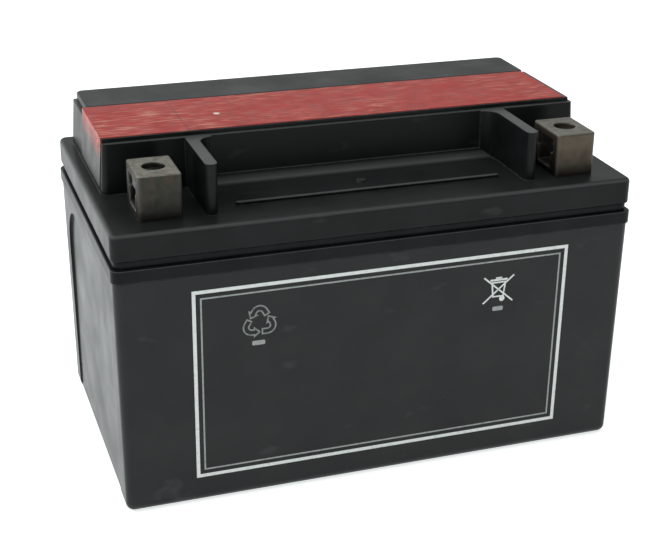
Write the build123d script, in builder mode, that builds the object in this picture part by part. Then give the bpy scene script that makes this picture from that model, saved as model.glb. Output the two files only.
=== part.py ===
"""Sealed twelve-volt motorcycle battery with box terminals and a lift-off cap strip.

Frame: X runs along the length, the printed front faces -Y, Z is up.
The origin is the middle of the bottom face. All sizes are millimetres.
"""

import os
from math import radians, tan

from build123d import *

os.makedirs("parts", exist_ok=True)

# Overall size, taken over the case flange and up to the top of the cap strip
length = 150.0
width = 87.0
height = 98.0

# Lid heights, counted down from the top
plateau_rise = 15.5
skirt_height = 7.5
groove_height = 2.0
cap_strip_thickness = 2.5
top_step = 1.2
label_thickness = 0.2
label_margin = 0.4
label_end_margin = 1.2
label_foot_gap = 1.5

# Case
flange_overhang = 0.4
flange_band = 3.9
flange_corner = 2.6
case_wall = 3.3
case_floor = 3.0
case_corner = 2.6
case_draft = 0.45
bottom_round = 2.5
rim_inset = 2.4
rim_height = 5.0
rim_corner = 2.0
partition_wall = 1.6
cell_count = 6
cell_corner = 1.2

# Recess moulded into each end of the case, open at the bottom
recess_depth = 1.0
recess_front_margin = 10.0
recess_rear_margin = 8.2
recess_top_margin = 8.4
recess_corner = 14.0

# Lid
lid_end_inset = 0.3
lid_front_inset = 1.1
lid_corner = 2.2
lid_wall = 2.6
lid_edge_round = 1.2
skirt_foot_round = 0.5
rim_clearance = 0.15
front_deck = 29.8
rear_ledge = 4.0
end_ledge = 3.4
plateau_corner = 2.0
plateau_draft = 4.0
pad_front_inset = 2.3
pad_end_inset = 0.9
pocket_wall = 3.3
pocket_wall_front_gap = 8.5
pocket_wall_blend = 4.0
foot_blend = 3.0
lip_width = 1.3
lip_height = 0.9
lip_front_gap = 12.6
lip_end_gap = 6.0
gate_mark_radius = 1.3
gate_mark_height = 0.5
gate_mark_gap = 7.9

# Cap strip, its plugs and the ports they close
cap_strip_width = 19.2
cap_strip_gap = 0.3
plug_radius = 5.2
plug_bore = 3.3
plug_length = 10.5
plug_clearance = 0.15
port_wall = 1.6
port_length = 13.0
seal_radius = 0.7
seal_clearance = 0.05
seal_drop = 7.0
nozzle_radius = 1.7
nozzle_bore = 0.6
nozzle_length = 5.0
valve_wall = 1.2
valve_length = 6.5

# Box terminals with a captive square nut
terminal_width = 11.8
terminal_depth = 15.5
terminal_height = 12.4
terminal_end_gap = 9.0
terminal_front_gap = 7.35
terminal_corner = 0.9
terminal_edge = 0.6
terminal_top_plate = 2.0
terminal_floor = 1.8
pocket_gap = 6.2
bolt_hole_radius = 3.2
nut_width = 10.0
nut_thickness = 3.9
nut_corner = 0.8
nut_thread_radius = 2.5
nut_clearance = 0.1
nut_shoulder = 1.1
shank_radius = 4.5
shank_tip = 1.0
bush_wall = 1.5
bush_flange = 1.2
boss_wall = 2.4
post_radius = 4.0

# Plate packs
positive_count = 4
negative_count = 5
positive_thickness = 1.6
negative_thickness = 1.2
pack_clearance = 0.3
plate_side_gap = 1.5
plate_foot_gap = 1.0
separator_overhang = 1.2
lug_height = 5.0
lug_width = 8.0
lug_inset = 12.5
strap_width = 9.0
strap_thickness = 4.0
strap_drop = 13.5
strap_end_gap = 1.0
tab_thickness = 2.5
tab_height = 7.5
weld_radius = 3.0

# Heights that follow
deck_z = height - plateau_rise
skirt_z = deck_z - skirt_height
flange_z = skirt_z - groove_height
rim_z = flange_z + rim_height
recess_z = height - cap_strip_thickness
label_z = height - label_thickness
plateau_z = label_z - top_step

# Plan sizes that follow
lid_x = length / 2 - lid_end_inset
lid_y = width / 2 - lid_front_inset
rim_x = length / 2 - rim_inset
rim_y = width / 2 - rim_inset
body_x = length / 2 - flange_overhang
body_y = width / 2 - flange_overhang
cavity_x = body_x - case_wall
cavity_y = body_y - case_wall
cell_length = (2 * cavity_x - (cell_count - 1) * partition_wall) / cell_count
cell_pitch = cell_length + partition_wall
cell_centres = [(n - (cell_count - 1) / 2) * cell_pitch for n in range(cell_count)]
partition_centres = [(n - (cell_count - 2) / 2) * cell_pitch for n in range(cell_count - 1)]

# Plateau, measured at its foot
plateau_x = lid_x - end_ledge
plateau_front = -lid_y + front_deck
plateau_rear = lid_y - rear_ledge
plateau_depth = plateau_rear - plateau_front
plateau_mid = (plateau_rear + plateau_front) / 2
plateau_slope = tan(radians(plateau_draft))
plateau_top_x = plateau_x - (plateau_z - deck_z) * plateau_slope
pad_x = plateau_top_x - pad_end_inset
pad_front = plateau_front + pad_front_inset
strip_front = plateau_rear - cap_strip_width
port_y = plateau_rear - cap_strip_width / 2

# Terminals and the pockets they stand in
terminal_x = lid_x - terminal_end_gap - terminal_width / 2
terminal_y = -lid_y + terminal_front_gap + terminal_depth / 2
pocket_wall_x = terminal_x - terminal_width / 2 - pocket_gap
nut_top = deck_z + terminal_height - terminal_top_plate - nut_clearance
nut_base = nut_top - nut_thickness
shank_z = rim_z - shank_tip
bush_radius = shank_radius + bush_wall

# Plate packs
strap_z = rim_z - strap_drop
plate_top = strap_z - lug_height
plate_foot = case_floor + plate_foot_gap
plate_y = cavity_y - plate_side_gap
strap_y = cavity_y - lug_inset
separator_count = positive_count + negative_count - 1
pack_length = cell_length - 2 * pack_clearance
plates_thickness = positive_count * positive_thickness + negative_count * negative_thickness
separator_thickness = (pack_length - plates_thickness) / separator_count
weld_z = strap_z + strap_thickness + (tab_height - strap_thickness) / 2


def save(part, name):
    """Label one finished piece and write it as its own file."""
    part.label = name
    export_step(part, f"parts/{name}.step")


# Case: tapered body, flange, rim, six cells and the end recesses
with BuildPart() as case:
    with BuildSketch(Plane.XY.offset(flange_z - flange_band)):
        RectangleRounded(2 * body_x, 2 * body_y, case_corner)
    extrude(amount=-(flange_z - flange_band), taper=case_draft)
    fillet(case.edges().group_by(Axis.Z)[0], bottom_round)
    with BuildSketch(Plane.XY.offset(flange_z - flange_band)):
        RectangleRounded(length, width, flange_corner)
    extrude(amount=flange_band)
    chamfer(case.faces().filter_by(Axis.Z).sort_by(Axis.Z)[1].outer_wire().edges(), flange_overhang * 0.8)
    fillet(case.faces().filter_by(Axis.Z).sort_by(Axis.Z)[-1].edges(), flange_overhang * 0.8)
    with BuildSketch(Plane.XY.offset(flange_z)):
        RectangleRounded(2 * rim_x, 2 * rim_y, rim_corner)
    extrude(amount=rim_height)
    with BuildSketch(Plane.XY.offset(case_floor)):
        with Locations([(x, 0) for x in cell_centres]):
            RectangleRounded(cell_length, 2 * cavity_y, cell_corner)
    extrude(amount=rim_z - case_floor, mode=Mode.SUBTRACT)
    recess_low = -recess_depth
    recess_high = flange_z - recess_top_margin
    recess_front = -body_y + recess_front_margin
    recess_rear = body_y - recess_rear_margin
    floor_x = body_x - recess_depth
    for side in (-1, 1):
        with BuildSketch(Plane.YZ.offset(side * floor_x)) as recess:
            with Locations(((recess_front + recess_rear) / 2, (recess_low + recess_high) / 2)):
                Rectangle(recess_rear - recess_front, recess_high - recess_low)
            fillet(recess.vertices().sort_by(Axis.Y)[-2:], recess_corner)
        extrude(amount=side * 2 * recess_depth, mode=Mode.SUBTRACT)
    for n, x in enumerate(partition_centres):
        weld_y = strap_y if n % 2 == 0 else -strap_y
        with BuildSketch(Plane.YZ.offset(x - partition_wall / 2)):
            with Locations((weld_y, weld_z)):
                Circle(weld_radius)
        extrude(amount=partition_wall, mode=Mode.SUBTRACT)
save(case.part, "case")

# Lid: skirt and low deck, plateau with its pad, terminal pocket walls, hollow underside
with BuildPart() as lid:
    with BuildSketch(Plane.XY.offset(skirt_z)):
        RectangleRounded(2 * lid_x, 2 * lid_y, lid_corner)
    extrude(amount=skirt_height)
    fillet(lid.edges().group_by(Axis.Z)[-1], lid_edge_round)
    fillet(lid.edges().group_by(Axis.Z)[0], skirt_foot_round)
    with BuildSketch(Plane.XY.offset(deck_z)):
        with Locations((0, plateau_mid)):
            RectangleRounded(2 * plateau_x, plateau_depth, plateau_corner)
    extrude(amount=plateau_z - deck_z, taper=plateau_draft)
    with BuildSketch(Plane.XY.offset(deck_z)):
        wall_front = -lid_y + pocket_wall_front_gap
        wall_reach = plateau_front + lid_wall - wall_front
        for side in (-1, 1):
            with Locations((side * (pocket_wall_x - pocket_wall / 2), wall_front + wall_reach / 2)):
                Rectangle(pocket_wall, wall_reach)
            with Locations((side * (pocket_wall_x - pocket_wall / 2), wall_front)):
                Circle(pocket_wall / 2)
            blend_x = side * (pocket_wall_x - pocket_wall - pocket_wall_blend / 2)
            with Locations((blend_x, plateau_front - pocket_wall_blend / 2 + lid_wall / 2)):
                Rectangle(pocket_wall_blend, pocket_wall_blend + lid_wall)
            with Locations((blend_x - side * pocket_wall_blend / 2, plateau_front - pocket_wall_blend)):
                Circle(pocket_wall_blend, mode=Mode.SUBTRACT)
    extrude(amount=plateau_z - deck_z)
    with BuildSketch(Plane.YZ.offset(-pocket_wall_x + pocket_wall / 2)):
        with Locations((plateau_front - foot_blend / 2 + lid_wall / 2, deck_z + foot_blend / 2)):
            Rectangle(foot_blend + lid_wall, foot_blend)
        with Locations((plateau_front - foot_blend, deck_z + foot_blend)):
            Circle(foot_blend, mode=Mode.SUBTRACT)
    extrude(amount=2 * pocket_wall_x - pocket_wall)
    with BuildSketch(Plane.XY.offset(deck_z)):
        lip_y = -lid_y + lip_front_gap
        with Locations((0, lip_y)):
            SlotOverall(2 * (pocket_wall_x - pocket_wall - lip_end_gap), lip_width)
    extrude(amount=lip_height)
    with BuildSketch(Plane.XY.offset(deck_z)):
        with Locations((0, lip_y + gate_mark_gap)):
            Circle(gate_mark_radius)
    extrude(amount=gate_mark_height)
    with BuildSketch(Plane.XY.offset(plateau_z)):
        with Locations(((pad_x - plateau_top_x) / 2, (pad_front + strip_front) / 2)):
            Rectangle(pad_x + plateau_top_x, strip_front - pad_front)
    extrude(amount=top_step)
    with BuildSketch(Plane.XY.offset(recess_z)):
        with Locations((0, strip_front + cap_strip_width)):
            Rectangle(length, 2 * cap_strip_width)
    extrude(amount=cap_strip_thickness, mode=Mode.SUBTRACT)
    with BuildSketch(Plane.XY.offset(skirt_z)):
        RectangleRounded(2 * (rim_x + rim_clearance), 2 * (rim_y + rim_clearance), rim_corner)
    extrude(amount=rim_z - skirt_z, mode=Mode.SUBTRACT)
    inner_front = plateau_front + lid_wall
    inner_step = strip_front - lid_wall
    inner_rear = plateau_rear - 2 * lid_wall
    ceilings = (
        (-cavity_y, cavity_y, deck_z - lid_wall),
        (inner_front, inner_rear, recess_z - lid_wall),
        (inner_front, inner_step, plateau_z - lid_wall),
    )
    for front, rear, ceiling in ceilings:
        with BuildSketch(Plane.XY.offset(rim_z)):
            with Locations([(x, (front + rear) / 2) for x in cell_centres]):
                Rectangle(cell_length - 2 * (cell_corner if front > -cavity_y else 0), rear - front)
        extrude(amount=ceiling - rim_z, mode=Mode.SUBTRACT)
    with BuildSketch(Plane.XY.offset(recess_z)):
        with Locations([(x, port_y) for x in cell_centres]):
            Circle(plug_radius + plug_clearance + port_wall)
    extrude(amount=-port_length)
    with BuildSketch(Plane.XY.offset(recess_z)):
        with Locations([(x, port_y) for x in cell_centres]):
            Circle(plug_radius + plug_clearance)
    extrude(amount=-port_length, mode=Mode.SUBTRACT)
    with BuildSketch(Plane.XY.offset(rim_z)):
        with Locations([(side * terminal_x, terminal_y) for side in (-1, 1)]):
            Circle(bush_radius + boss_wall)
    extrude(amount=deck_z - rim_z)
    with BuildSketch(Plane.XY.offset(rim_z)):
        with Locations([(side * terminal_x, terminal_y) for side in (-1, 1)]):
            Circle(bush_radius)
    extrude(amount=deck_z - rim_z, mode=Mode.SUBTRACT)
save(lid.part, "lid")

# Cap strip: one flat cover with six hollow plugs and their vent nozzles
strip_x = pad_x
strip_rear = plateau_rear - (recess_z - deck_z) * plateau_slope
with BuildPart() as cap_strip:
    with BuildSketch(Plane.XY.offset(recess_z)):
        with Locations((0, (strip_front + cap_strip_gap + strip_rear) / 2)):
            RectangleRounded(2 * strip_x, strip_rear - strip_front - cap_strip_gap, plateau_corner)
    extrude(amount=cap_strip_thickness)
    fillet(cap_strip.edges().group_by(Axis.Z)[-1], lid_edge_round / 2)
    with BuildSketch(Plane.XY.offset(recess_z)):
        with Locations([(x, port_y) for x in cell_centres]):
            Circle(plug_radius)
            Circle(plug_bore, mode=Mode.SUBTRACT)
            Circle(nozzle_radius)
    extrude(amount=-nozzle_length)
    with BuildSketch(Plane.XY.offset(recess_z - nozzle_length)):
        with Locations([(x, port_y) for x in cell_centres]):
            Circle(plug_radius)
            Circle(plug_bore, mode=Mode.SUBTRACT)
    extrude(amount=-(plug_length - nozzle_length))
    with BuildSketch(Plane.XY.offset(recess_z - nozzle_length)):
        with Locations([(x, port_y) for x in cell_centres]):
            Circle(nozzle_bore)
    extrude(amount=nozzle_length + cap_strip_thickness / 2, mode=Mode.SUBTRACT)
    seal_centre = plug_radius + plug_clearance - seal_clearance - seal_radius
    with BuildSketch(Plane.XY.offset(recess_z - seal_drop - seal_radius)):
        with Locations([(x, port_y) for x in cell_centres]):
            Circle(plug_radius + plug_clearance)
            Circle(seal_centre - seal_radius, mode=Mode.SUBTRACT)
    extrude(amount=2 * seal_radius, mode=Mode.SUBTRACT)
save(cap_strip.part, "cap_strip")

# Rubber rings in the plug grooves
with BuildPart() as plug_seals:
    for x in cell_centres:
        with BuildSketch(Plane((x, port_y, 0), x_dir=(1, 0, 0), z_dir=(0, -1, 0))):
            with Locations((seal_centre, recess_z - seal_drop)):
                Circle(seal_radius)
        revolve(axis=Axis((x, port_y, 0), (0, 0, 1)))
save(plug_seals.part, "plug_seals")

# Rubber cap valves pushed over the vent nozzles
with BuildPart() as vent_valves:
    with BuildSketch(Plane.XY.offset(recess_z - 0.5)):
        with Locations([(x, port_y) for x in cell_centres]):
            Circle(nozzle_radius + valve_wall)
    extrude(amount=-valve_length)
    with BuildSketch(Plane.XY.offset(recess_z - 0.5)):
        with Locations([(x, port_y) for x in cell_centres]):
            Circle(nozzle_radius)
    extrude(amount=-(nozzle_length - 0.5), mode=Mode.SUBTRACT)
save(vent_valves.part, "vent_valves")

# Terminals, nuts, bushes and posts, positive on the left
for side, sign in ((-1, "positive"), (1, "negative")):
    x = side * terminal_x
    top_z = deck_z + terminal_height
    with BuildPart() as terminal:
        with BuildSketch(Plane.XY.offset(deck_z)):
            with Locations((x, terminal_y)):
                RectangleRounded(terminal_width, terminal_depth, terminal_corner)
        extrude(amount=terminal_height)
        fillet(terminal.edges().group_by(Axis.Z)[-1], terminal_edge)
        with BuildSketch(Plane.YZ.offset(x - terminal_width)):
            slot_top = nut_top + nut_clearance
            slot_base = nut_base - nut_clearance / 2
            bay_base = deck_z + terminal_floor
            with Locations((terminal_y, (slot_top + slot_base) / 2)):
                Rectangle(nut_width + 2 * nut_clearance, slot_top - slot_base)
            with Locations((terminal_y, (slot_base + bay_base) / 2)):
                Rectangle(nut_width - 2 * nut_shoulder, slot_base - bay_base)
        extrude(amount=2 * terminal_width, mode=Mode.SUBTRACT)
        with Locations((x, terminal_y, top_z)):
            Hole(bolt_hole_radius, depth=terminal_top_plate)
        with BuildSketch(Plane.XY.offset(shank_z)):
            with Locations((x, terminal_y)):
                Circle(shank_radius)
        extrude(amount=deck_z - shank_z)
    save(terminal.part, f"terminal_{sign}")

    with BuildPart() as nut:
        with BuildSketch(Plane.XY.offset(nut_base)):
            with Locations((x, terminal_y)):
                RectangleRounded(nut_width, nut_width, nut_corner)
        extrude(amount=nut_thickness)
        with Locations((x, terminal_y, nut_top)):
            Hole(nut_thread_radius, depth=nut_thickness)
    save(nut.part, f"terminal_nut_{sign}")

    with BuildPart() as bush:
        with BuildSketch(Plane.XY.offset(rim_z)):
            with Locations((x, terminal_y)):
                Circle(bush_radius)
                Circle(shank_radius, mode=Mode.SUBTRACT)
        extrude(amount=deck_z - rim_z)
        with BuildSketch(Plane.XY.offset(rim_z)):
            with Locations((x, terminal_y)):
                Circle(bush_radius + bush_flange)
                Circle(shank_radius, mode=Mode.SUBTRACT)
        extrude(amount=-shank_tip)
    save(bush.part, f"terminal_bush_{sign}")

    with BuildPart() as post:
        with BuildSketch(Plane.XY.offset(strap_z + strap_thickness)):
            with Locations((x, terminal_y)):
                Circle(post_radius)
        extrude(amount=shank_z - strap_z - strap_thickness)
    save(post.part, f"{sign}_post")

# Warning label: one strip of film over the pad and down the left end of the plateau
label_low = deck_z + label_foot_gap
label_low_x = plateau_x - label_foot_gap * plateau_slope
label_end = pad_x - label_end_margin
label_front = pad_front + label_margin
with BuildPart() as top_label:
    with BuildSketch(Plane.XZ.offset(-strip_front)):
        with BuildLine():
            Polyline(
                (label_end, label_z),
                (-plateau_top_x, label_z),
                (-plateau_top_x, plateau_z),
                (-label_low_x, label_low),
                (-label_low_x - label_thickness, label_low),
                (-plateau_top_x - label_thickness, plateau_z),
                (-plateau_top_x - label_thickness, height),
                (label_end, height),
                close=True,
            )
        make_face()
    extrude(amount=strip_front - label_front)
save(top_label.part, "top_label")

# Lead welds that join neighbouring cells through the partitions
for n, x in enumerate(partition_centres):
    weld_y = strap_y if n % 2 == 0 else -strap_y
    with BuildPart() as weld:
        with BuildSketch(Plane.YZ.offset(x - partition_wall / 2)):
            with Locations((weld_y, weld_z)):
                Circle(weld_radius)
        extrude(amount=partition_wall)
    save(weld.part, f"intercell_weld_{n + 1}")

# Plate packs: plates and separators stand across the cell, straps gather their lugs
for n, centre in enumerate(cell_centres):
    positive_y = -strap_y if n % 2 == 0 else strap_y
    faces = {"positive": [], "negative": [], "separator": []}
    face = centre - pack_length / 2
    for layer in range(positive_count + negative_count + separator_count):
        kind = "separator" if layer % 2 else ("negative" if layer % 4 == 0 else "positive")
        thickness = {
            "positive": positive_thickness,
            "negative": negative_thickness,
            "separator": separator_thickness,
        }[kind]
        faces[kind].append(face)
        face += thickness

    for sign, lug_y, thickness in (
        ("positive", positive_y, positive_thickness),
        ("negative", -positive_y, negative_thickness),
    ):
        with BuildPart() as plates:
            for face in faces[sign]:
                with BuildSketch(Plane.YZ.offset(face)):
                    with Locations((0, (plate_foot + plate_top) / 2)):
                        Rectangle(2 * plate_y, plate_top - plate_foot)
                    with Locations((lug_y, plate_top + lug_height / 2)):
                        Rectangle(lug_width, lug_height)
                extrude(amount=thickness)
        save(plates.part, f"{sign}_plates_{n + 1}")

        tab_side = -1 if sign == "positive" else 1
        at_end = n == (0 if sign == "positive" else cell_count - 1)
        strap_low = centre - cell_length / 2 + strap_end_gap
        strap_high = centre + cell_length / 2 - strap_end_gap
        with BuildPart() as strap:
            with BuildSketch(Plane.XY.offset(strap_z)):
                with Locations(((strap_low + strap_high) / 2, lug_y)):
                    Rectangle(strap_high - strap_low, strap_width)
            extrude(amount=strap_thickness)
            if not at_end:
                tab_x = centre + tab_side * (cell_length - tab_thickness) / 2
                with BuildSketch(Plane.XY.offset(strap_z)):
                    with Locations((tab_x, lug_y)):
                        Rectangle(tab_thickness, strap_width)
                extrude(amount=strap_thickness + tab_height)
        save(strap.part, f"{sign}_strap_{n + 1}")

    with BuildPart() as separators:
        for face in faces["separator"]:
            with BuildSketch(Plane.YZ.offset(face)):
                separator_top = plate_top + separator_overhang
                with Locations((0, (case_floor + separator_top) / 2)):
                    Rectangle(2 * plate_y, separator_top - case_floor)
            extrude(amount=separator_thickness)
    save(separators.part, f"separators_{n + 1}")
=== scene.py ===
"""Looks of a sealed twelve-volt motorcycle battery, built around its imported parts.

Frame: X runs along the length, the printed front faces -Y and Z is up. The scene is in metres. Values whose
names end in _mm are in millimetres, and those that end in _m are in metres.
"""

import logging
from dataclasses import dataclass
from enum import Enum
from functools import cached_property
from math import cos, pi, radians, sin, sqrt
from typing import Any

import bmesh
import bpy
from mathutils import Matrix, Vector
from mathutils.bvhtree import BVHTree


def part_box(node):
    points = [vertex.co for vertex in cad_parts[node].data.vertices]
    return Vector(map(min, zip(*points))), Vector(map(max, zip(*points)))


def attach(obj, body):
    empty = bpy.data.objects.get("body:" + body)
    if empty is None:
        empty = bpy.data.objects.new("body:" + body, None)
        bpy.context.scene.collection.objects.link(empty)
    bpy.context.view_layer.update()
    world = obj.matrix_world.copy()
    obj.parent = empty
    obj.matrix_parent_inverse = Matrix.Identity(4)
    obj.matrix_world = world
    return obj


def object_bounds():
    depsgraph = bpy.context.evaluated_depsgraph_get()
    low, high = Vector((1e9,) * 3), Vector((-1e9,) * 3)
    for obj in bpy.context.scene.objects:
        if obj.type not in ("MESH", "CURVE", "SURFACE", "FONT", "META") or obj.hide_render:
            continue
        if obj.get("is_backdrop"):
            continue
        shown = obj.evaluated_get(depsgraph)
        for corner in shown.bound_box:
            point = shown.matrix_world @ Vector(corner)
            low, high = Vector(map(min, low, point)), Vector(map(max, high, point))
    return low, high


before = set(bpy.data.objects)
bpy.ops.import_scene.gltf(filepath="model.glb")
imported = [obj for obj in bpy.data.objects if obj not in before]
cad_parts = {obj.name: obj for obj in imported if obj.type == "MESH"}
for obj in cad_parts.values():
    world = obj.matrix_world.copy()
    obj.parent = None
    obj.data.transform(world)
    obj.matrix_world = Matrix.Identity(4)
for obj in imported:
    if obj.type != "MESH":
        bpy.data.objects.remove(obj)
log = logging.getLogger("battery")

MM = 0.001
UP = Vector((0, 0, 1))


def linear(hex_colour: str) -> tuple[float, float, float, float]:
    """Turns an sRGB hex colour such as "#16181A" to linear RGBA."""
    parts = [int(hex_colour[i:i + 2], 16) / 255 for i in (1, 3, 5)]
    red, green, blue = (c / 12.92 if c <= 0.04045 else ((c + 0.055) / 1.055) ** 2.4 for c in parts)
    return red, green, blue, 1.0


def add_node(
    tree: bpy.types.NodeTree,
    kind: str,
    settings: dict[str, Any] | None = None,
    inputs: dict[str | int, Any] | None = None,
) -> bpy.types.Node:
    """Adds one node with its settings, values and links.

    Args:
        tree: The node tree that gets the node.
        kind: The node's type without the "ShaderNode" in front.
        settings: Properties of the node by name.
        inputs: Socket values by socket name or number; an output socket makes a link.

    Returns:
        The new node.
    """
    node = tree.nodes.new("ShaderNode" + kind)
    for name, value in (settings or {}).items():
        setattr(node, name, value)
    for name, value in (inputs or {}).items():
        if isinstance(value, bpy.types.NodeSocket):
            tree.links.new(value, node.inputs[name])
        else:
            node.inputs[name].default_value = value
    return node


class Bench:
    """A material under way: its tree, its shader and a coordinate in millimetres."""

    def __init__(self, name: str) -> None:
        """Starts the material called name."""
        self.material = bpy.data.materials.new(name)
        self.material.use_nodes = True
        self.tree = self.material.node_tree
        self.shader = self.tree.nodes["Principled BSDF"]
        coordinate = add_node(self.tree, "TexCoord")
        scaled = add_node(self.tree, "VectorMath", {"operation": "SCALE"},
                          {0: coordinate.outputs["Object"], "Scale": 1 / MM})
        self.mm = scaled.outputs[0]

    def noise(self, size_mm: float, detail: float = 3, stretch: tuple[float, float, float] = (1, 1, 1),
              turn: tuple[float, float, float] = (0, 0, 0)) -> bpy.types.NodeSocket:
        """Noise whose blobs are about size_mm wide.

        Args:
            size_mm: Real width of one blob.
            detail: Octaves of finer noise.
            stretch: How much longer the blobs are along each axis.
            turn: Angles in degrees that the pattern is turned by.

        Returns:
            The noise factor's socket.
        """
        placed = add_node(self.tree, "Mapping", {"vector_type": "POINT"}, {
            "Vector": self.mm, "Rotation": [radians(a) for a in turn], "Scale": [1 / s for s in stretch]})
        made = add_node(self.tree, "TexNoise", None, {
            "Vector": placed.outputs[0], "Scale": 1 / size_mm, "Detail": detail})
        return made.outputs[0]

    def ramp(self, value: bpy.types.NodeSocket, low: float, high: float, start: float = 0,
             end: float = 1) -> bpy.types.NodeSocket:
        """Maps value from low..high to start..end, held at both ends."""
        made = add_node(self.tree, "MapRange", {"clamp": True}, {
            "Value": value, "From Min": low, "From Max": high, "To Min": start, "To Max": end})
        return made.outputs["Result"]

    def maths(self, operation: str, first: Any, second: Any = 0.0) -> bpy.types.NodeSocket:
        """One arithmetic step on two values or sockets."""
        return add_node(self.tree, "Math", {"operation": operation}, {0: first, 1: second}).outputs[0]

    def mix(self, factor: Any, first: Any, second: Any) -> bpy.types.NodeSocket:
        """Blends two colours by factor; a string is a hex colour."""
        first, second = (linear(c) if isinstance(c, str) else c for c in (first, second))
        made = add_node(self.tree, "Mix", {"data_type": "RGBA"}, {0: factor, 6: first, 7: second})
        return made.outputs[2]

    def axes(self) -> list[bpy.types.NodeSocket]:
        """The X, Y and Z sockets of the millimetre coordinate."""
        return list(add_node(self.tree, "SeparateXYZ", None, {0: self.mm}).outputs)

    def lift(self) -> bpy.types.NodeSocket:
        """How far the surface faces up: 1 on level tops, 0 on upright sides."""
        normal = add_node(self.tree, "NewGeometry").outputs["Normal"]
        return add_node(self.tree, "SeparateXYZ", None, {0: normal}).outputs["Z"]

    def edges(self, radius_mm: float) -> tuple[bpy.types.NodeSocket, bpy.types.NodeSocket]:
        """Finds the solid's edges.

        Args:
            radius_mm: How far from an edge the mask reaches.

        Returns:
            The softened normal, and a mask that is 1 on the edges.
        """
        soft = add_node(self.tree, "Bevel", {"samples": 4}, {"Radius": radius_mm * MM})
        true_normal = add_node(self.tree, "NewGeometry").outputs["Normal"]
        likeness = add_node(self.tree, "VectorMath", {"operation": "DOT_PRODUCT"}, {
            0: soft.outputs[0], 1: true_normal}).outputs["Value"]
        return soft.outputs[0], self.ramp(likeness, 0.995, 0.85)

    def bump(self, height: bpy.types.NodeSocket, depth_mm: float,
             normal: bpy.types.NodeSocket | None = None) -> bpy.types.NodeSocket:
        """Relief of a real depth, on top of another normal if one is given."""
        inputs = {"Height": height, "Distance": depth_mm * MM, "Strength": 1.0}
        if normal is not None:
            inputs["Normal"] = normal
        return add_node(self.tree, "Bump", None, inputs).outputs[0]

    def finish(self, colour: bpy.types.NodeSocket, roughness: Any, normal: bpy.types.NodeSocket,
               **others: Any) -> bpy.types.Material:
        """Links the shader's sockets, or sets the ones that are the same all over the surface.

        Args:
            colour: Base colour socket.
            roughness: Roughness socket or number.
            normal: Normal socket with the surface's relief.
            **others: Sockets or values for the shader's other inputs, with _ for a space.

        Returns:
            The finished material.
        """
        for name, value in {"Base Color": colour, "Roughness": roughness, "Normal": normal, **others}.items():
            socket = self.shader.inputs[name.replace("_", " ")]
            if isinstance(value, bpy.types.NodeSocket):
                self.tree.links.new(value, socket)
            else:
                socket.default_value = value
        return self.material


@dataclass(frozen=True)
class MouldedPolypropylene:
    """Injection-moulded black polypropylene: a satin skin with a fine grain, grey on its edges and slopes.

    Heights are measured up from the battery's foot. The plastic changes its shine at flange_mm, where a
    flange_specular is given. The edges grey partly as worn plastic and partly as a painted highlight,
    sloped and rounded faces take a painted highlight, and level tops turn lighter from rubbed_mm up,
    partly as rub marks and partly as a painted highlight on the up-facing tops, with a little dust below
    that.
    """

    name: str
    colour: str = "#131618"
    bloom: str = "#202323"
    worn: str = "#5C605F"
    rubbed_and_lit: str = "#505453"
    roughness: float = 0.33
    roughness_spread: float = 0.06
    specular: float = 0.24
    flange_specular: float | None = None
    flange_mm: float = 69.1
    step_mm: float = 0.3
    haze_mm: float = 14.0
    grain_mm: float = 0.5
    grain_depth_mm: float = 0.012
    sink_mm: float = 22.0
    sink_depth_mm: float = 0.12
    edge_mm: float = 0.5
    chip_mm: float = 2.5
    edge_wear_and_glint: tuple[float, float] = (0.15, 0.45)
    scuff_mm: float = 0.7
    scuff_wear: float = 0.16
    round_highlight: float = 0.8
    rubbed_mm: float = 83.2
    rubbing_and_top_light: float = 0.0
    dust: float = 0.0

    def build(self) -> bpy.types.Material:
        """Makes the plastic's material."""
        bench = Bench(self.name)
        height = bench.axes()[2]
        lift = bench.lift()
        haze = bench.noise(self.haze_mm, 4)
        soft_normal, edge = bench.edges(self.edge_mm)
        chips = bench.ramp(bench.noise(self.chip_mm, 4), 0.4, 0.62, *self.edge_wear_and_glint)
        scratches = bench.noise(self.scuff_mm, 3, (18, 1, 9), (0, 12, 24))
        scuffs = bench.ramp(scratches, 0.66, 0.74, 0, self.scuff_wear)
        colour = bench.mix(bench.ramp(haze, 0.35, 0.75), self.colour, self.bloom)
        # Level tops from rubbed_mm up turn lighter, partly as rub marks and partly as a painted highlight on
        # the up-facing tops; lower level tops get the dust share of that colour.
        if self.rubbing_and_top_light:
            rubbed_and_lit_tops = bench.ramp(height, self.rubbed_mm - self.step_mm, self.rubbed_mm, self.dust,
                                self.rubbing_and_top_light)
            level = bench.ramp(lift, 0.35, 0.85)
            colour = bench.mix(bench.maths("MULTIPLY", rubbed_and_lit_tops, level), colour, self.rubbed_and_lit)
        # Painted highlight: sloped and rounded faces, neither upright nor level, are lightened.
        slope_highlight = bench.ramp(lift, 0.12, 0.45, 0, self.round_highlight)
        rounded = bench.maths("MULTIPLY", slope_highlight, bench.ramp(lift, 0.98, 0.75))
        colour = bench.mix(rounded, colour, self.rubbed_and_lit)
        # Edge chips and scratches are worn plastic; along the edges the grey is also a painted highlight.
        wear_and_glint = bench.maths("ADD", bench.maths("MULTIPLY", edge, chips), scuffs)
        colour = bench.mix(wear_and_glint, colour, self.worn)
        satin = bench.ramp(haze, 0.3, 0.7, self.roughness - self.roughness_spread,
                           self.roughness + self.roughness_spread)
        roughness = bench.maths("ADD", satin, bench.maths("MULTIPLY", scuffs, 0.5))
        relief = bench.bump(bench.noise(self.sink_mm, 1), self.sink_depth_mm, soft_normal)
        relief = bench.bump(bench.noise(self.grain_mm, 2), self.grain_depth_mm, relief)
        specular = self.specular
        if self.flange_specular is not None:
            specular = bench.ramp(height, self.flange_mm - self.step_mm, self.flange_mm, specular,
                                  self.flange_specular)
        return bench.finish(colour, roughness, relief, Specular_IOR_Level=specular)


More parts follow.
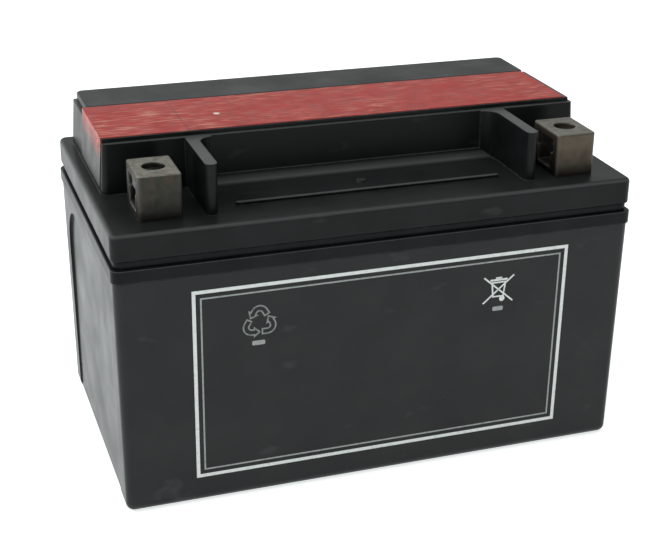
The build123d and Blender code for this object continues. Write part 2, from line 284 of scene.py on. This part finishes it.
@dataclass(frozen=True)
class PrintedFilm:
    """Self-adhesive film printed red under a satin varnish, with plain pale streaks and a worn-out flap.

    The flap at the low-X end fades to bare over the heights in fold_mm. A dark division runs across the
    film at division_mm, and one small pale dot sits at dot_mm.
    """

    name: str = "printed_vinyl_red"
    colour: str = "#C42A1E"
    deep: str = "#AA2019"
    streak: str = "#E6A288"
    darkening: str = "#7A3A30"
    bare: str = "#343533"
    division: str = "#4A1F1E"
    dot: str = "#EFE3D6"
    specular: float = 0.24
    tone_mm: float = 9.0
    streak_mm: float = 0.9
    streak_stretch: float = 8.0
    streak_cover: float = 0.7
    patch_mm: float = 22.0
    darkening_mm: float = 4.0
    fold_mm: tuple[float, float] = (91.5, 98.6)
    fray_mm: float = 1.2
    fray_blob_mm: float = 2.5
    division_mm: float = -46.0
    dot_mm: tuple[float, float] = (-35.0, 3.0)
    smear_mm: float = 6.0
    ripple_mm: float = 5.0
    ripple_depth_mm: float = 0.02

    def build(self) -> bpy.types.Material:
        """Makes the film's material."""
        bench = Bench(self.name)
        x, y, z = bench.axes()
        patches = bench.ramp(bench.noise(self.patch_mm, 2, (2.2, 1, 1)), 0.4, 0.62, 0.25, 1)
        streaks = bench.ramp(bench.noise(self.streak_mm, 2, (self.streak_stretch, 1, 1)), 0.51, 0.67)
        marks = bench.maths("MULTIPLY", streaks, patches)
        colour = bench.mix(bench.noise(self.tone_mm, 4), self.colour, self.deep)
        colour = bench.mix(bench.maths("MULTIPLY", marks, self.streak_cover), colour, self.streak)
        grimy = bench.ramp(bench.noise(self.darkening_mm, 5), 0.56, 0.75, 0, 0.3)
        colour = bench.mix(grimy, colour, self.darkening)
        fray = bench.ramp(bench.noise(self.fray_blob_mm, 3), 0.3, 0.7, -self.fray_mm, self.fray_mm)
        colour = bench.mix(bench.ramp(bench.maths("ADD", z, fray), *self.fold_mm), self.bare, colour)
        off_division = bench.maths("ABSOLUTE", bench.maths("SUBTRACT", x, self.division_mm))
        colour = bench.mix(bench.ramp(off_division, 0.15, 0.35, 0.35, 0), colour, self.division)
        off_x, off_y = (bench.maths("SUBTRACT", axis, middle) for axis, middle in zip((x, y), self.dot_mm))
        squares = (bench.maths("MULTIPLY", off, off) for off in (off_x, off_y))
        off_dot = bench.maths("SQRT", bench.maths("ADD", *squares))
        colour = bench.mix(bench.ramp(off_dot, 0.7, 1.1, 1, 0), colour, self.dot)
        roughness = bench.ramp(bench.noise(self.smear_mm, 4), 0.3, 0.7, 0.34, 0.46)
        relief = bench.bump(bench.noise(self.ripple_mm, 3), self.ripple_depth_mm)
        return bench.finish(colour, roughness, relief, Specular_IOR_Level=self.specular)


@dataclass(frozen=True)
class CastLead:
    """Cast lead alloy: dull grey tops, sides darker as painted shade, pits from the mould and brown stains.

    The colour darkens towards the foot as painted shade, fading out over the heights in darkening_mm,
    measured up from the battery's foot, and the edges turn pale partly as worn metal and partly as a painted
    glint.
    """

    name: str
    colour: str = "#8E8C81"
    oxide: str = "#7B796E"
    side_shade: str = "#3A3930"
    stain: str = "#4A3A2C"
    foot_shade: str = "#1A1916"
    bright: str = "#C9C8C2"
    staining: float = 0.45
    darkening: float = 0.7
    darkening_mm: tuple[float, float] = (82.5, 92.0)
    edge_wear_and_glint: float = 0.35
    metallic: float = 0.6
    roughness: float = 0.44
    mottle_mm: float = 2.2
    stain_mm: float = 2.6
    dent_mm: float = 3.5
    dent_depth_mm: float = 0.12
    pit_mm: float = 0.8
    pit_depth_mm: float = 0.05
    edge_mm: float = 0.9

    def build(self) -> bpy.types.Material:
        """Makes the metal's material."""
        bench = Bench(self.name)
        mottle = bench.noise(self.mottle_mm, 5)
        soft_normal, edge = bench.edges(self.edge_mm)
        colour = bench.mix(bench.ramp(mottle, 0.35, 0.65), self.colour, self.oxide)
        # Painted shade: upright sides take the darker side colour, level tops the grey.
        colour = bench.mix(bench.ramp(bench.lift(), 0.35, 0.85), self.side_shade, colour)
        streaks = bench.noise(self.stain_mm, 4, (1, 1, 2.4))
        colour = bench.mix(bench.ramp(streaks, 0.5, 0.66, 0, self.staining), colour, self.stain)
        # Painted shade: the metal darkens towards its foot.
        if self.darkening:
            colour = bench.mix(bench.ramp(bench.axes()[2], *self.darkening_mm, self.darkening, 0), colour, self.foot_shade)
        # Edges turn pale partly as worn metal and partly as a painted glint.
        colour = bench.mix(bench.maths("MULTIPLY", edge, self.edge_wear_and_glint), colour, self.bright)
        roughness = bench.ramp(mottle, 0.3, 0.7, self.roughness - 0.08, self.roughness + 0.14)
        relief = bench.bump(bench.noise(self.pit_mm, 3), self.pit_depth_mm, soft_normal)
        relief = bench.bump(bench.noise(self.dent_mm, 2), self.dent_depth_mm, relief)
        return bench.finish(colour, roughness, relief, Metallic=self.metallic)


@dataclass(frozen=True)
class ZincPlatedSteel:
    """Zinc-plated steel: bright and slightly blue, with turning marks and a few dull spots."""

    name: str = "zinc_plated_steel_passivated"
    colour: str = "#B4B8BA"
    dull: str = "#8C8D86"
    roughness: float = 0.3
    edge_mm: float = 0.35
    spot_mm: float = 1.6
    mark_mm: float = 0.25
    mark_depth_mm: float = 0.008

    def build(self) -> bpy.types.Material:
        """Makes the plated steel's material."""
        bench = Bench(self.name)
        soft_normal = bench.edges(self.edge_mm)[0]
        spots = bench.ramp(bench.noise(self.spot_mm, 4), 0.48, 0.66)
        roughness = bench.ramp(spots, 0, 1, self.roughness, self.roughness + 0.2)
        relief = bench.bump(bench.noise(self.mark_mm, 1, (9, 1, 1)), self.mark_depth_mm, soft_normal)
        return bench.finish(bench.mix(spots, self.colour, self.dull), roughness, relief, Metallic=1.0)


@dataclass(frozen=True)
class PressedPaste:
    """Dried battery paste on a cast grid: matt and chalky, cracked between the grid's bars."""

    name: str
    colour: str
    crack: str
    bar_mm: float = 6.0
    grain_mm: float = 0.4
    relief_mm: float = 0.12

    def build(self) -> bpy.types.Material:
        """Makes the paste's material."""
        bench = Bench(self.name)
        cells = add_node(bench.tree, "TexVoronoi", {"feature": "DISTANCE_TO_EDGE"}, {
            "Vector": bench.mm, "Scale": 1 / self.bar_mm}).outputs["Distance"]
        cracked = bench.ramp(cells, 0.02, 0.09, 1, 0)
        grain = bench.noise(self.grain_mm, 3)
        colour = bench.mix(bench.ramp(grain, 0.3, 0.7, 0, 0.5), self.colour, self.crack)
        colour = bench.mix(cracked, colour, self.crack)
        relief = bench.bump(bench.maths("SUBTRACT", grain, cracked), self.relief_mm)
        return bench.finish(colour, bench.ramp(grain, 0.3, 0.7, 0.78, 0.95), relief)


@dataclass(frozen=True)
class GlassMat:
    """Absorbent glass mat: white felted fibre, matt, with crossed strands strand_mm apart."""

    name: str = "absorbent_glass_mat"
    colour: str = "#E6E4DC"
    shade: str = "#BDBAB0"
    strand_mm: float = 0.4
    felt_depth_mm: float = 0.15

    def build(self) -> bpy.types.Material:
        """Makes the mat's material."""
        bench = Bench(self.name)
        strands = bench.noise(self.strand_mm, 4, (1, 6, 1), (0, 0, 30))
        crossed = bench.noise(self.strand_mm, 4, (1, 1, 7), (24, 0, 0))
        felt = bench.maths("MULTIPLY", strands, crossed)
        colour = bench.mix(bench.ramp(felt, 0.15, 0.35), self.shade, self.colour)
        return bench.finish(colour, 0.95, bench.bump(felt, self.felt_depth_mm), Sheen_Weight=0.2)


@dataclass(frozen=True)
class MouldedRubber:
    """Moulded EPDM rubber: deep black and matt, with a faint grey bloom."""

    name: str = "epdm_rubber_black"
    colour: str = "#131313"
    bloom: str = "#2C2C2B"
    bloom_mm: float = 1.8
    grain_mm: float = 0.3
    grain_depth_mm: float = 0.01

    def build(self) -> bpy.types.Material:
        """Makes the rubber's material."""
        bench = Bench(self.name)
        bloom = bench.noise(self.bloom_mm, 4)
        colour = bench.mix(bench.ramp(bloom, 0.45, 0.75), self.colour, self.bloom)
        relief = bench.bump(bench.noise(self.grain_mm, 2), self.grain_depth_mm)
        return bench.finish(colour, bench.ramp(bloom, 0.3, 0.7, 0.62, 0.78), relief)


@dataclass(frozen=True)
class ScreenInk:
    """Pale screen-printing ink on black plastic: matt, worn thin in patches and holed by pinholes."""

    name: str
    colour: str
    thin: str
    cover: float
    patch_mm: float = 1.1
    pinhole_mm: float = 0.3
    grain_mm: float = 0.25
    grain_depth_mm: float = 0.006

    def build(self) -> bpy.types.Material:
        """Makes the ink's material."""
        bench = Bench(self.name)
        thin = bench.ramp(bench.noise(self.patch_mm, 4), 0.5, 0.72, 0, 1 - self.cover)
        holes = bench.ramp(bench.noise(self.pinhole_mm, 2), 0.68, 0.74, 0, 0.7)
        colour = bench.mix(bench.maths("MAXIMUM", thin, holes), self.colour, self.thin)
        relief = bench.bump(bench.noise(self.grain_mm, 2), self.grain_depth_mm)
        return bench.finish(colour, 0.55, relief, Specular_IOR_Level=0.3)


class Polarity(Enum):
    """The two terminals, by the word in the names of their nodes and bodies."""

    POSITIVE = "positive"
    NEGATIVE = "negative"


class Finishes:
    """Every material of the battery, built once."""

    def __init__(self) -> None:
        """Builds the materials."""
        self.case = MouldedPolypropylene("polypropylene_black_case", flange_specular=0.09).build()
        # The lid's stronger edge greying and its lighter level tops are partly painted highlight.
        self.lid = MouldedPolypropylene("polypropylene_black_lid", colour="#141717", bloom="#1F2222",
                                        roughness=0.34, specular=0.13, sink_mm=16.0, edge_wear_and_glint=(0.3, 0.75),
                                        rubbing_and_top_light=1.0, dust=0.12).build()
        self.strip = MouldedPolypropylene("polypropylene_black_cap_strip", colour="#161818", bloom="#242727",
                                          roughness=0.4, roughness_spread=0.08).build()
        self.film = PrintedFilm().build()
        # The two terminals are lit and shaded copies of one lead: their top and side tones differ as painted
        # shade.
        self.lead = {
            Polarity.POSITIVE: CastLead("cast_lead_positive", side_shade="#34332C").build(),
            Polarity.NEGATIVE: CastLead("cast_lead_negative", colour="#7E7C74", side_shade="#574D41").build(),
        }
        self.inner_lead = CastLead("cast_lead_inner", oxide="#6B6D70", side_shade="#77787A", staining=0.15,
                                   darkening=0.0, metallic=0.9).build()
        self.steel = ZincPlatedSteel().build()
        self.positive_paste = PressedPaste("lead_dioxide_paste", "#5A3A2A", "#2F1D15").build()
        self.negative_paste = PressedPaste("spongy_lead_paste", "#7B7F80", "#4A4D4E").build()
        self.mat = GlassMat().build()
        self.rubber = MouldedRubber().build()
        self.ink = ScreenInk("screen_ink_white", "#E6E9E7", "#6B6E6D", 0.8).build()
        self.thin_ink = ScreenInk("screen_ink_grey", "#A2A6A4", "#3E4140", 0.6).build()
        self.worn_ink = ScreenInk("screen_ink_worn", "#8B908E", "#2E3130", 0.3).build()


def dress(node: str, material: bpy.types.Material) -> None:
    """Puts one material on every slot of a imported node."""
    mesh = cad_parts[node].data
    if not mesh.materials:
        mesh.materials.append(material)
    for index in range(len(mesh.materials)):
        mesh.materials[index] = material
    log.info("dressed %s in %s", node, material.name)


def place(bm: bmesh.types.BMesh, name: str, body: str, material: bpy.types.Material,
          smooth_degrees: float | None = 35) -> None:
    """Turns a finished bmesh to an object that rides on a body.

    Args:
        bm: The mesh in metres, freed here.
        name: The piece's name.
        body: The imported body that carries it.
        material: Its finish.
        smooth_degrees: Edges sharper than this stay crisp; None keeps every face flat.
    """
    bmesh.ops.remove_doubles(bm, verts=bm.verts, dist=1e-7)
    bmesh.ops.recalc_face_normals(bm, faces=bm.faces)
    mesh = bpy.data.meshes.new(name)
    bm.to_mesh(mesh)
    bm.free()
    if smooth_degrees is not None:
        mesh.shade_smooth()
        mesh.set_sharp_from_angle(angle=radians(smooth_degrees))
    mesh.materials.append(material)
    piece = bpy.data.objects.new(name, mesh)
    bpy.context.scene.collection.objects.link(piece)
    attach(piece, body)
    log.info("built %s on %s, %d faces", name, body, len(mesh.polygons))


def bar(bm: bmesh.types.BMesh, width: float, height: float, matrix: Matrix) -> list[bmesh.types.BMVert]:
    """Adds a flat rectangle to bm, placed by matrix, and returns its vertices."""
    made = bmesh.ops.create_grid(bm, x_segments=1, y_segments=1, size=0.5)["verts"]
    bmesh.ops.scale(bm, verts=made, vec=(width, height, 1))
    bmesh.ops.transform(bm, verts=made, matrix=matrix)
    return made


def outline(bm: bmesh.types.BMesh, faces: list[bmesh.types.BMFace], line: float) -> None:
    """Cuts the middle out of a flat region, so that a border as wide as line is left."""
    bmesh.ops.inset_region(bm, faces=faces, thickness=line, use_boundary=True, use_even_offset=True)
    bmesh.ops.delete(bm, geom=faces, context="FACES")


@dataclass
class Housing:
    """The case, the lid welded on it, the cap strip and the film on top."""

    finishes: Finishes
    groove_mm: float = 2.0
    bead_fill: float = 0.98
    bead_inset_mm: tuple[float, float] = (0.7, 0.2)
    bead_bulge_mm: float = 0.08
    bead_bulge_height: float = 0.6
    bead_depth_mm: float = 1.05
    bead_corner_mm: float = 2.4
    corner_steps: int = 8

    def dress_shells(self) -> None:
        """Gives each moulding its own batch of plastic, and the film its print."""
        dress("case", self.finishes.case)
        dress("lid", self.finishes.lid)
        dress("cap_strip", self.finishes.strip)
        dress("top_label", self.finishes.film)
        dress("plug_seals", self.finishes.rubber)
        dress("vent_valves", self.finishes.rubber)

    def lay_weld_bead(self) -> None:
        """Builds the bead of melted plastic that the weld pressed out between the case and the lid."""
        low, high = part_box("lid")
        reach = [half - inset * MM for half, inset in zip((high - low).xy / 2, self.bead_inset_mm)]
        corner = self.bead_corner_mm * MM
        bulge, depth = self.bead_bulge_mm * MM, self.bead_depth_mm * MM
        top = self.groove_mm * MM / 2 * self.bead_fill
        shoulder = top * self.bead_bulge_height
        profile = ((0, top), (bulge, shoulder), (bulge, -shoulder), (0, -top), (-depth, -top), (-depth, top))
        middle_z = low.z - self.groove_mm * MM / 2
        bm = bmesh.new()
        rings = []
        for out, rise in profile:
            ring = []
            for turn, (side_x, side_y) in enumerate(((1, 1), (-1, 1), (-1, -1), (1, -1))):
                for step in range(self.corner_steps + 1):
                    angle = (turn + step / self.corner_steps) * pi / 2
                    x = side_x * (reach[0] - corner) + (corner + out) * cos(angle)
                    y = side_y * (reach[1] - corner) + (corner + out) * sin(angle)
                    ring.append(bm.verts.new((x, y, middle_z + rise)))
            rings.append(ring)
        for ring, following in zip(rings, rings[1:] + rings[:1]):
            for index, vert in enumerate(ring):
                after = (index + 1) % len(ring)
                bm.faces.new((vert, ring[after], following[after], following[index]))
        place(bm, "weld_bead", "battery", self.finishes.case)


@dataclass
class PlatePacks:
    """The six sealed cells: pasted plates, glass mats, straps, posts and the welds through the partitions."""

    finishes: Finishes

    def dress_cells(self) -> None:
        """Dresses every inner node by what it is made of."""
        lead_starts = ("positive_strap", "negative_strap", "positive_post", "negative_post", "intercell_weld")
        by_start = {
            "positive_plates": self.finishes.positive_paste,
            "negative_plates": self.finishes.negative_paste,
            "separators": self.finishes.mat,
            **dict.fromkeys(lead_starts, self.finishes.inner_lead),
        }
        for node in sorted(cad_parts):
            for start, material in by_start.items():
                if node.startswith(start):
                    dress(node, material)


@dataclass
class TerminalPair:
    """Cast box terminals, the bushes under them and the captive square nuts with their threads."""

    finishes: Finishes
    thread_radius_mm: float = 2.5
    thread_depth_mm: float = 0.24
    pitch_mm: float = 1.0
    ridge_of_pitch: float = 0.36
    lead_in_of_pitch: float = 0.4
    steps_a_turn: int = 28

    def dress_metal(self) -> None:
        """Dresses the terminals, bushes and nuts."""
        for end in Polarity:
            dress(f"terminal_{end.value}", self.finishes.lead[end])
            dress(f"terminal_bush_{end.value}", self.finishes.rubber)
            dress(f"terminal_nut_{end.value}", self.finishes.steel)

    def cut_thread(self, end: Polarity) -> None:
        """Builds the thread ridge in one nut as a small triangle swept along a helix.

        Args:
            end: Which nut gets the thread.
        """
        low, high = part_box(f"terminal_nut_{end.value}")
        middle = (low + high) / 2
        pitch, depth, radius = (v * MM for v in (self.pitch_mm, self.thread_depth_mm, self.thread_radius_mm))
        lead_in = pitch * self.lead_in_of_pitch
        turns = (high.z - low.z - 2 * lead_in) / pitch
        foot, half_ridge = radius + depth / 4, pitch * self.ridge_of_pitch
        bm = bmesh.new()
        ridge = bmesh.ops.create_circle(bm, cap_ends=True, segments=3, radius=1)["verts"]
        for vert, (out, rise) in zip(ridge, ((radius - depth, 0), (foot, -half_ridge), (foot, half_ridge))):
            vert.co = Vector((middle.x + out, middle.y, low.z + lead_in + rise))
        steps = int(turns * self.steps_a_turn)
        bmesh.ops.spin(bm, geom=bm.verts[:] + bm.edges[:] + bm.faces[:], cent=middle, axis=UP,
                       dvec=UP * (turns * pitch / steps), angle=2 * pi * turns, steps=steps, use_merge=False)
        place(bm, f"nut_thread_{end.value}", f"nut_{end.value}_body", self.finishes.steel)


@dataclass
class PrintedFront:
    """The print on the front of the case: a double frame line, a ring of arrows and a crossed-out bin."""

    finishes: Finishes
    left_mm: float = -54.3
    right_mm: float = 55.4
    low_mm: float = 8.0
    high_mm: float = 64.9
    line_mm: float = 1.0
    inner_inset_mm: float = 2.2
    inner_line_mm: float = 0.45
    frame_cuts: int = 24
    ink_mm: float = 0.05
    arrows_at_mm: tuple[float, float] = (-35.9, 53.5)
    arrows_bar_at_mm: tuple[float, float] = (-36.2, 47.4)
    bin_at_mm: tuple[float, float] = (34.35, 53.7)
    bin_bar_at_mm: tuple[float, float] = (34.5, 47.7)
    bar_height_mm: float = 1.3
    bar_round_mm: float = 0.3

    @cached_property
    def skin(self) -> BVHTree:
        """The case's surface, for laying print on."""
        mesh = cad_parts["case"].data
        mesh.calc_loop_triangles()
        return BVHTree.FromPolygons([v.co for v in mesh.vertices], [t.vertices for t in mesh.loop_triangles])

    def lay(self, bm: bmesh.types.BMesh, name: str, material: bpy.types.Material, layers: int = 1) -> None:
        """Wraps flat print drawn in XY millimetres on the case's front, and gives the ink its thickness.

        Args:
            bm: Flat faces, X along the length and Y up.
            name: The piece's name.
            material: The ink.
            layers: How many layers of ink lie here, this one counted.
        """
        ink = self.ink_mm * MM * layers
        before_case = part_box("case")[0].y * 2
        for vert in bm.verts:
            start = Vector((vert.co.x * MM, before_case, vert.co.y * MM))
            hit = self.skin.ray_cast(start, Vector((0, 1, 0)))[0]
            vert.co = hit - Vector((0, ink, 0))
        sides = bmesh.ops.extrude_face_region(bm, geom=bm.faces[:])["geom"]
        backs = [g for g in sides if isinstance(g, bmesh.types.BMVert)]
        bmesh.ops.translate(bm, verts=backs, vec=(0, ink, 0))
        place(bm, name, "battery", material, smooth_degrees=None)

    def frame_lines(self) -> None:
        """Prints the heavy outer line and the thin inner one."""
        middle = Vector(((self.left_mm + self.right_mm) / 2, (self.low_mm + self.high_mm) / 2, 0))
        width, height = self.right_mm - self.left_mm, self.high_mm - self.low_mm
        lines = (("frame_line_outer", 0.0, self.line_mm, self.finishes.ink),
                 ("frame_line_inner", self.inner_inset_mm, self.inner_line_mm, self.finishes.thin_ink))
        for name, inset, line, ink in lines:
            bm = bmesh.new()
            bar(bm, width - 2 * inset, height - 2 * inset, Matrix.Translation(middle))
            outline(bm, bm.faces[:], line)
            long_edges = [e for e in bm.edges if e.calc_length() > height / 2]
            bmesh.ops.subdivide_edges(bm, edges=long_edges, cuts=self.frame_cuts)
            self.lay(bm, name, ink)

    def arrow_ring(self, side: float = 9.9, bend: float = 1.6, band: float = 1.9, tail: float = 0.55,
                   neck: float = 1.65, head: float = 2.0, head_width: float = 3.4,
                   line: float = 0.42) -> None:
        """Prints three hollow arrows that chase each other round a rounded triangle, sized in millimetres.

        Args:
            side: The triangle's side before its corners are rounded.
            bend: Radius of each corner.
            band: Width of an arrow's shaft.
            tail: Where the shaft starts, past the middle of the triangle's side.
            neck: How far the shaft stops short of the next side's middle.
            head: Length of an arrow's head.
            head_width: Width of the head's foot.
            line: Width of the printed outline.
        """
        base = -side / (2 * sqrt(3))
        turn_x = side / 2 - bend * sqrt(3)
        along = Vector((cos(radians(120)), sin(radians(120)), 0))
        across = Vector((-along.y, along.x, 0))
        bm = bmesh.new()
        for turn in range(3):
            part = bmesh.new()
            part.edges.new([part.verts.new((tail, base + s * band / 2, 0)) for s in (-1, 1)])
            straight = bmesh.ops.extrude_edge_only(part, edges=part.edges[:])["geom"]
            front = [g for g in straight if isinstance(g, bmesh.types.BMVert)]
            bmesh.ops.translate(part, verts=front, vec=(turn_x - tail, 0, 0))
            front_edge = [g for g in straight if isinstance(g, bmesh.types.BMEdge)]
            bent = bmesh.ops.spin(part, geom=front + front_edge, cent=(turn_x, base + bend, 0), axis=UP,
                                  angle=radians(120), steps=8, use_merge=False)["geom_last"]
            bent_edge = [g for g in bent if isinstance(g, bmesh.types.BMEdge)]
            shaft = bmesh.ops.extrude_edge_only(part, edges=bent_edge)["geom"]
            ends = [g for g in shaft if isinstance(g, bmesh.types.BMVert)]
            bmesh.ops.translate(part, verts=ends, vec=along * (turn_x - neck))
            middle = (ends[0].co + ends[1].co) / 2
            wings = [part.verts.new(middle + across * s * head_width / 2) for s in (-1, 1)]
            tip = part.verts.new(middle + along * head)
            near = sorted(ends, key=lambda v: (v.co - wings[0].co).length)
            part.faces.new((wings[0], near[0], near[1], wings[1], tip))
            bmesh.ops.remove_doubles(part, verts=part.verts, dist=1e-4)
            bmesh.ops.recalc_face_normals(part, faces=part.faces)
            outline(part, part.faces[:], line)
            turned = Matrix.Rotation(radians(120 * turn), 3, "Z")
            bmesh.ops.rotate(part, verts=part.verts, cent=(0, 0, 0), matrix=turned)
            mesh = bpy.data.meshes.new("arrow")
            part.to_mesh(mesh)
            part.free()
            bm.from_mesh(mesh)
            bpy.data.meshes.remove(mesh)
        bmesh.ops.translate(bm, verts=bm.verts, vec=(*self.arrows_at_mm, 0))
        self.lay(bm, "arrow_ring", self.finishes.worn_ink)

    def crossed_bin(self, width: float = 4.6, height: float = 4.8, foot: float = 0.78,
                    wheel: float = 0.85, cross: float = 12.2, cross_degrees: float = 41,
                    line: float = 0.45) -> None:
        """Prints a wheeled bin and a cross over it, sized in millimetres.

        Args:
            width: Width of the bin's mouth.
            height: Height of its body.
            foot: Width of the foot, as a share of the mouth's.
            wheel: Radius of the wheel.
            cross: Length of each bar of the cross.
            cross_degrees: How steeply the bars stand.
            line: Width of the printed lines.
        """
        at = Matrix.Translation((*self.bin_at_mm, 0))
        bm = bmesh.new()
        body = bar(bm, width, height, Matrix.Identity(4))
        bmesh.ops.scale(bm, verts=[v for v in body if v.co.y < 0], vec=(foot, 1, 1))
        outline(bm, bm.faces[:], line)
        # The bin's lid, then the handle on it: width, thickness and height above the middle.
        for across, thick, up in ((5.3, 0.6, 2.95), (1.9, 0.45, 3.55)):
            bar(bm, across, thick, Matrix.Translation((0, up, 0)))
        tyre = bmesh.ops.create_circle(bm, cap_ends=True, segments=14, radius=wheel)["verts"]
        bmesh.ops.translate(bm, verts=tyre, vec=(1.25, -3.0, 0))
        bmesh.ops.transform(bm, verts=bm.verts, matrix=at)
        self.lay(bm, "bin_mark", self.finishes.ink)
        bm = bmesh.new()
        for angle in (cross_degrees, -cross_degrees):
            bar(bm, cross, line, at @ Matrix.Rotation(radians(angle), 4, "Z"))
        self.lay(bm, "bin_cross", self.finishes.ink, layers=2)

    def plain_bars(self) -> None:
        """Prints a plain bar under each mark."""
        bars = (("arrow_bar", self.arrows_bar_at_mm, 3.6), ("bin_bar", self.bin_bar_at_mm, 3.2))
        for name, where, width in bars:
            bm = bmesh.new()
            bar(bm, width, self.bar_height_mm, Matrix.Translation((*where, 0)))
            bmesh.ops.bevel(bm, geom=bm.verts[:], offset=self.bar_round_mm, segments=3, affect="VERTICES",
                            profile=0.5, material=-1)
            self.lay(bm, name, self.finishes.thin_ink)


@dataclass
class Studio:
    """Pale floor, soft lights all round and the camera."""

    lens_mm: float = 75.15
    sensor_mm: float = 36.0
    camera_mm: tuple[float, float, float] = (-127.6, -368.67, 216.06)
    camera_turn: tuple[float, float, float] = (66.325, -0.67, -18.806)
    clip_m: tuple[float, float] = (0.01, 50.0)
    floor_m: float = 14.0
    floor_gap_mm: float = 0.02
    floor_colour: str = "#F4F6F6"
    floor_glow: str = "#F8FDFC"
    floor_glow_strength: float = 0.75
    room_colour: str = "#F4F7F7"
    room_strength: tuple[float, float] = (0.16, 0.8)
    room_lean: tuple[float, float] = (-0.5, 0.9)
    bright_side: tuple[float, float, float] = (-0.45, 0.85, 0.2)
    aim_m: tuple[float, float, float] = (0.0, 0.0, 0.05)

    def add_camera(self) -> None:
        """Creates the camera and makes it the scene's own."""
        data = bpy.data.cameras.new("camera")
        data.lens = self.lens_mm
        data.sensor_width = self.sensor_mm
        data.clip_start, data.clip_end = self.clip_m
        camera = bpy.data.objects.new("camera", data)
        camera.location = Vector(self.camera_mm) * MM
        camera.rotation_euler = [radians(a) for a in self.camera_turn]
        bpy.context.scene.collection.objects.link(camera)
        bpy.context.scene.camera = camera

    def add_floor(self) -> None:
        """Lays a seamless pale floor that glows a little, so that it stays even."""
        bm = bmesh.new()
        bmesh.ops.create_grid(bm, x_segments=2, y_segments=2, size=self.floor_m / 2)
        mesh = bpy.data.meshes.new("floor")
        bm.to_mesh(mesh)
        bm.free()
        floor = bpy.data.objects.new("floor", mesh)
        floor.location.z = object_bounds()[0].z - self.floor_gap_mm * MM
        bpy.context.scene.collection.objects.link(floor)
        material = bpy.data.materials.new("matt_paper_white")
        material.use_nodes = True
        shader = material.node_tree.nodes["Principled BSDF"]
        shader.inputs["Base Color"].default_value = linear(self.floor_colour)
        shader.inputs["Roughness"].default_value = 0.9
        shader.inputs["Specular IOR Level"].default_value = 0.1
        shader.inputs["Emission Color"].default_value = linear(self.floor_glow)
        shader.inputs["Emission Strength"].default_value = self.floor_glow_strength
        mesh.materials.append(material)
        floor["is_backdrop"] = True

    def add_softbox(self, name: str, place_m: tuple[float, float, float], size: tuple[float, float],
                    power: float) -> None:
        """Adds one soft rectangular light that faces the battery.

        Args:
            name: The light's name.
            place_m: Where it stands.
            size: Width and height.
            power: Watts.
        """
        data = bpy.data.lights.new(name, "AREA")
        data.shape = "RECTANGLE"
        data.size, data.size_y = size
        data.energy = power
        light = bpy.data.objects.new(name, data)
        light.location = place_m
        light.rotation_euler = (Vector(self.aim_m) - light.location).to_track_quat("-Z", "Y").to_euler()
        bpy.context.scene.collection.objects.link(light)

    def add_surround(self) -> None:
        """Makes the room: bright behind and to the left, dimmer in front."""
        world = bpy.data.worlds.new("studio")
        bpy.context.scene.world = world
        world.use_nodes = True
        tree = world.node_tree
        background = tree.nodes["Background"]
        direction = add_node(tree, "TexCoord").outputs["Generated"]
        lean = add_node(tree, "VectorMath", {"operation": "DOT_PRODUCT"}, {
            0: direction, 1: Vector(self.bright_side).normalized()}).outputs["Value"]
        dim, bright = self.room_strength
        away, towards = self.room_lean
        strength = add_node(tree, "MapRange", {"clamp": True}, {
            "Value": lean, "From Min": away, "From Max": towards, "To Min": dim, "To Max": bright})
        tree.links.new(strength.outputs["Result"], background.inputs["Strength"])
        background.inputs["Color"].default_value = linear(self.room_colour)

    def build(self) -> None:
        """Builds camera, floor, lights and room."""
        self.add_camera()
        self.add_floor()
        self.add_surround()
        self.add_softbox("key_left", (-1.0, 0.1, 0.9), (0.8, 0.8), 5)
        self.add_softbox("top", (0.2, -0.2, 1.4), (1.0, 1.0), 4)
        bpy.context.scene.view_settings.view_transform = "Standard"


def main() -> None:
    """Builds the battery's looks in order."""
    logging.basicConfig(level=logging.INFO, format="%(name)s: %(message)s")
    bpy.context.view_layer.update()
    finishes = Finishes()
    housing = Housing(finishes)
    housing.dress_shells()
    housing.lay_weld_bead()
    PlatePacks(finishes).dress_cells()
    terminals = TerminalPair(finishes)
    terminals.dress_metal()
    for end in Polarity:
        terminals.cut_thread(end)
    front = PrintedFront(finishes)
    front.frame_lines()
    front.arrow_ring()
    front.crossed_bin()
    front.plain_bars()
    Studio().build()


if __name__ == "__main__":
    main()
